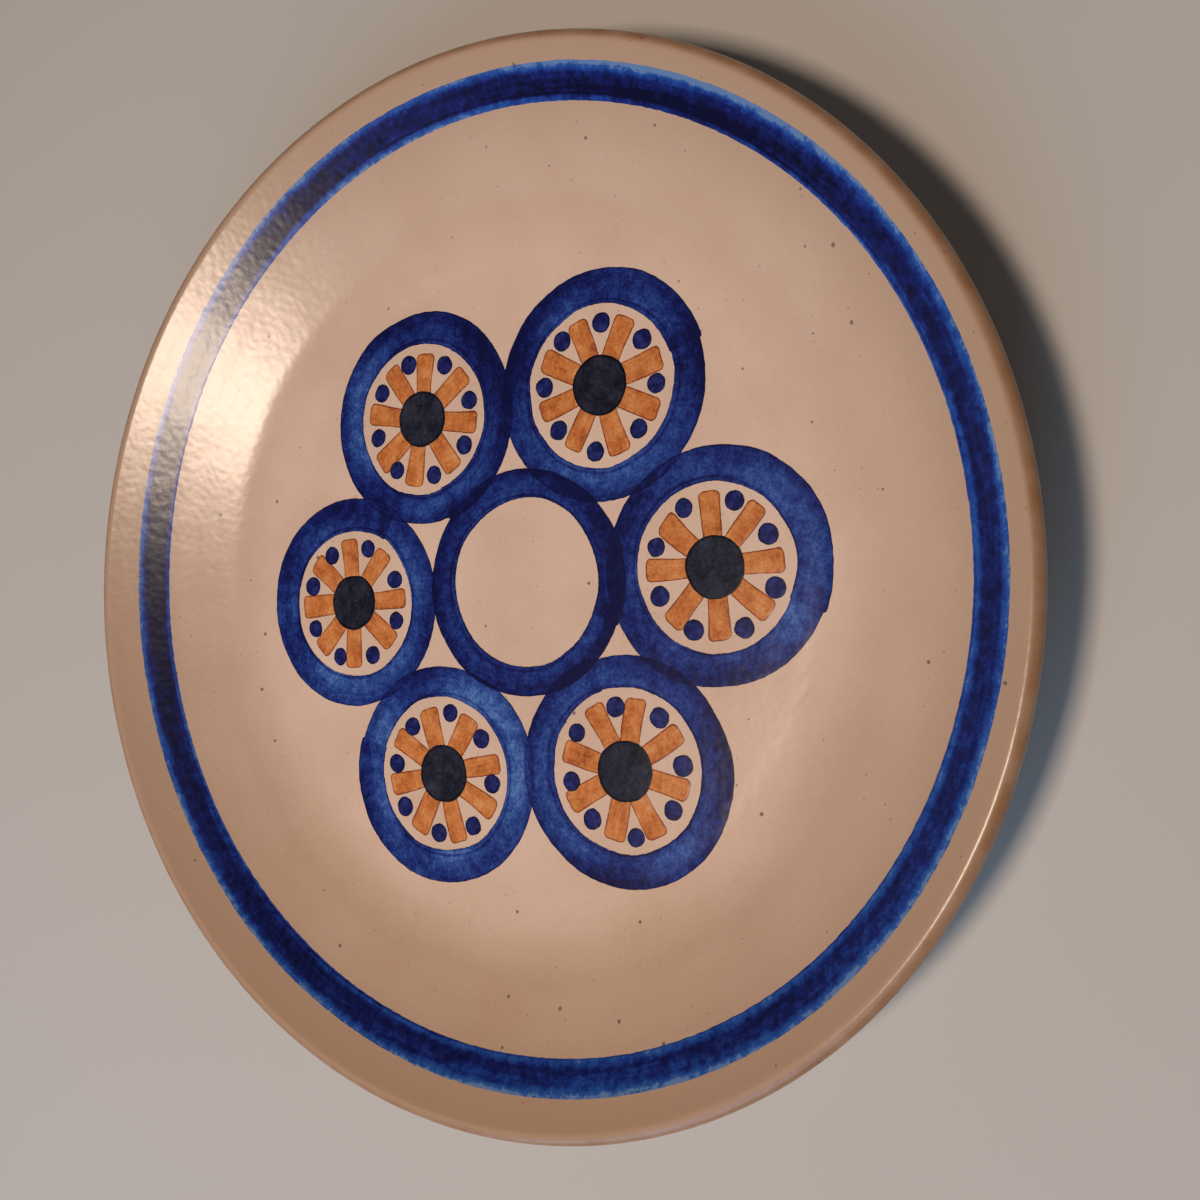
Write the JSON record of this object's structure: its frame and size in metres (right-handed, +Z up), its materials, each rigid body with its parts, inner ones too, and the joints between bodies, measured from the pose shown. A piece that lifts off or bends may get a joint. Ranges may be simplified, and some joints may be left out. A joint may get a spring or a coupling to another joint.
{
  "type": "dinner plate",
  "caption": "Round hand painted stoneware dinner plate: flat well, flared wall, rounded lip and foot ring, with a banded rim and a ring of flower roundels.",
  "frame": {"origin": "centre of the plane that the foot ring stands on", "axes": "+Z up through the middle of the well; +X and +Y lie in the standing plane, with the first flower roundel 36 degrees from +X"},
  "size_m": [0.262, 0.262, 0.0282],
  "materials": {
    "stoneware_clay": "bare fired stoneware, fine grained",
    "cream_glaze": "satin cream glaze, finely speckled, breaking brown at the lip",
    "cobalt_wash": "brushed cobalt blue, mottled, pooled darker at the edges",
    "orange_stain": "brushed orange ceramic stain with darker edges",
    "blue_black": "dense blue-black ceramic stain"
  },
  "bodies": {
    "root": {"clay_body": "stoneware_clay", "glaze_face": "cream_glaze", "glaze_back": "cream_glaze", "glaze_base": "cream_glaze", "rim_band": "cobalt_wash", "centre_ring": "cobalt_wash", "roundel_ring_1": "cobalt_wash", "petals_1": "orange_stain", "flower_eye_1": "blue_black", "dots_1": "cobalt_wash", "roundel_ring_2": "cobalt_wash", "petals_2": "orange_stain", "flower_eye_2": "blue_black", "dots_2": "cobalt_wash", "roundel_ring_3": "cobalt_wash", "petals_3": "orange_stain", "flower_eye_3": "blue_black", "dots_3": "cobalt_wash", "roundel_ring_4": "cobalt_wash", "petals_4": "orange_stain", "flower_eye_4": "blue_black", "dots_4": "cobalt_wash", "roundel_ring_5": "cobalt_wash", "petals_5": "orange_stain", "flower_eye_5": "blue_black", "dots_5": "cobalt_wash", "roundel_ring_6": "cobalt_wash", "petals_6": "orange_stain", "flower_eye_6": "blue_black", "dots_6": "cobalt_wash"}
  },
  "joints": []
}
